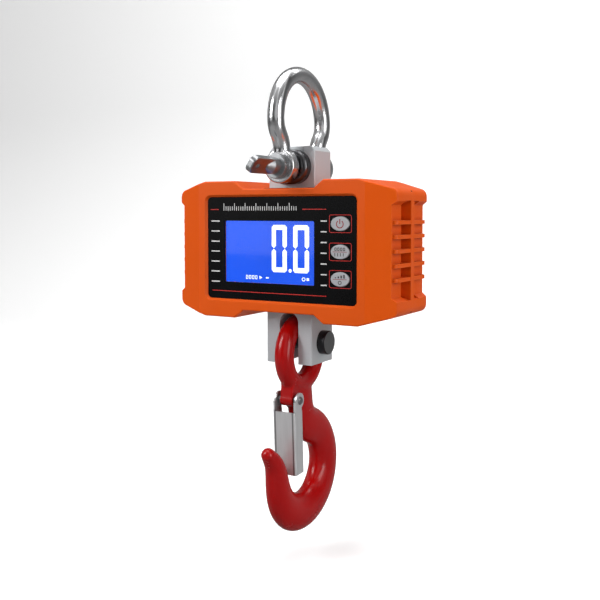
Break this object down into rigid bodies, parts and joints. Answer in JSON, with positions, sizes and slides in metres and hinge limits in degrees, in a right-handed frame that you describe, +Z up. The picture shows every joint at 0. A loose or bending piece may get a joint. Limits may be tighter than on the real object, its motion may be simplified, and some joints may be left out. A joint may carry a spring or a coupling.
{
  "type": "crane scale",
  "caption": "Hanging crane scale: orange cast housing round a load cell, bow shackle above, red eye hook with a sprung latch below, backlit display and push buttons",
  "frame": {"origin": "The point inside the crown of the shackle that the crane's hook carries, in the middle plane of the scale.", "axes": "+Z up, the way the scale hangs; -Y out of the display; +X to the right as the display is read. Metres."},
  "size_m": [0.19, 0.1235, 0.3646],
  "materials": {
    "housing_orange": "orange powder coat on cast aluminium, satin, slight orange peel",
    "hook_red": "bright red gloss enamel on forged steel",
    "polished_steel": "bright zinc plate, polished",
    "dark_steel": "dark polished steel",
    "pin_steel": "plated steel, knurled and machined",
    "cell_grey": "bead-blasted aluminium alloy",
    "latch_zinc": "zinc-plated pressed sheet",
    "rivet_steel": "plated rivet",
    "screw_black": "black-oxide screws",
    "screw_steel": "zinc-plated small screws",
    "seal_rubber": "matt black rubber",
    "panel_black": "black polyester overlay, gloss",
    "lens_clear": "clear acrylic window",
    "display_blue": "blue display glass",
    "backlight_white": "diffusing light guide",
    "button_grey": "light grey keys",
    "board_green": "solder mask over glass-fibre laminate",
    "chip_black": "moulded packages",
    "socket_white": "nylon connector shells",
    "frame_black": "moulded black frame",
    "gauge_gold": "polyimide-backed foil gauges",
    "cable_grey": "sleeved gauge cable",
    "lead_red": "insulated battery leads",
    "battery_blue": "shrink-wrapped cells",
    "contact_nickel": "nickel-plated contact strip",
    "bracket_steel": "zinc-plated bracket",
    "socket_nickel": "nickel-plated charging socket"
  },
  "bodies": {
    "shackle": {"shackle_bow": "polished_steel"},
    "pin": {"shackle_pin": "pin_steel"},
    "scale": {"battery_cells": "battery_blue", "battery_contacts": "contact_nickel", "battery_cover": "housing_orange", "battery_holder": "frame_black", "battery_leads": "lead_red", "board_chips": "chip_black", "board_screws": "screw_steel", "board_sockets": "socket_white", "bottom_seal": "seal_rubber", "bracket_screws": "screw_steel", "buzzer": "chip_black", "cell_bracket": "bracket_steel", "charging_socket": "socket_nickel", "cover_screws": "screw_black", "cover_seal": "seal_rubber", "display_lens": "lens_clear", "front_housing": "housing_orange", "gauge_cable": "cable_grey", "hook_pin": "dark_steel", "hook_pin_clip": "pin_steel", "housing_gasket": "seal_rubber", "housing_screws": "screw_black", "key_switches": "chip_black", "lcd_backlight": "backlight_white", "lcd_frame": "frame_black", "lcd_glass": "display_blue", "load_cell": "cell_grey", "main_board": "board_green", "panel_overlay": "panel_black", "rear_housing": "housing_orange", "shackle_bushes": "dark_steel", "socket_nut": "socket_nickel", "strain_gauges": "gauge_gold", "top_seal": "seal_rubber"},
    "lower_hook": {"hook": "hook_red", "latch_pin": "rivet_steel"},
    "safety_latch": {"latch": "latch_zinc", "latch_springs": "rivet_steel"},
    "power_key": {"power_button": "button_grey"},
    "hold_key": {"hold_button": "button_grey"},
    "zero_key": {"zero_button": "button_grey"}
  },
  "joints": [
    {"name": "scale_swing", "type": "hinge", "parent": "shackle", "child": "scale", "pos_m": [0, 0, -0.06525], "axis": [0, 1, 0], "range_deg": [-90, 90]},
    {"name": "pin_turn", "type": "hinge", "parent": "shackle", "child": "pin", "pos_m": [0, 0, -0.06525], "axis": [0, 1, 0], "range_deg": [-180, 0]},
    {"name": "hook_swing", "type": "hinge", "parent": "scale", "child": "lower_hook", "pos_m": [0, 0, -0.20075], "axis": [1, 0, 0], "range_deg": [-30, 30]},
    {"name": "latch_open", "type": "hinge", "parent": "lower_hook", "child": "safety_latch", "pos_m": [0, -0.017, -0.24475], "axis": [1, 0, 0], "range_deg": [0, 25], "stiffness_Nm_per_rad": 0.12, "springref_deg": -28.65},
    {"name": "power_press", "type": "slide", "parent": "scale", "child": "power_key", "axis": [0, 1, 0], "range_m": [0, 0.0008], "stiffness_N_per_m": 900, "springref_m": -0.0012},
    {"name": "hold_press", "type": "slide", "parent": "scale", "child": "hold_key", "axis": [0, 1, 0], "range_m": [0, 0.0008], "stiffness_N_per_m": 900, "springref_m": -0.0012},
    {"name": "zero_press", "type": "slide", "parent": "scale", "child": "zero_key", "axis": [0, 1, 0], "range_m": [0, 0.0008], "stiffness_N_per_m": 900, "springref_m": -0.0012}
  ]
}
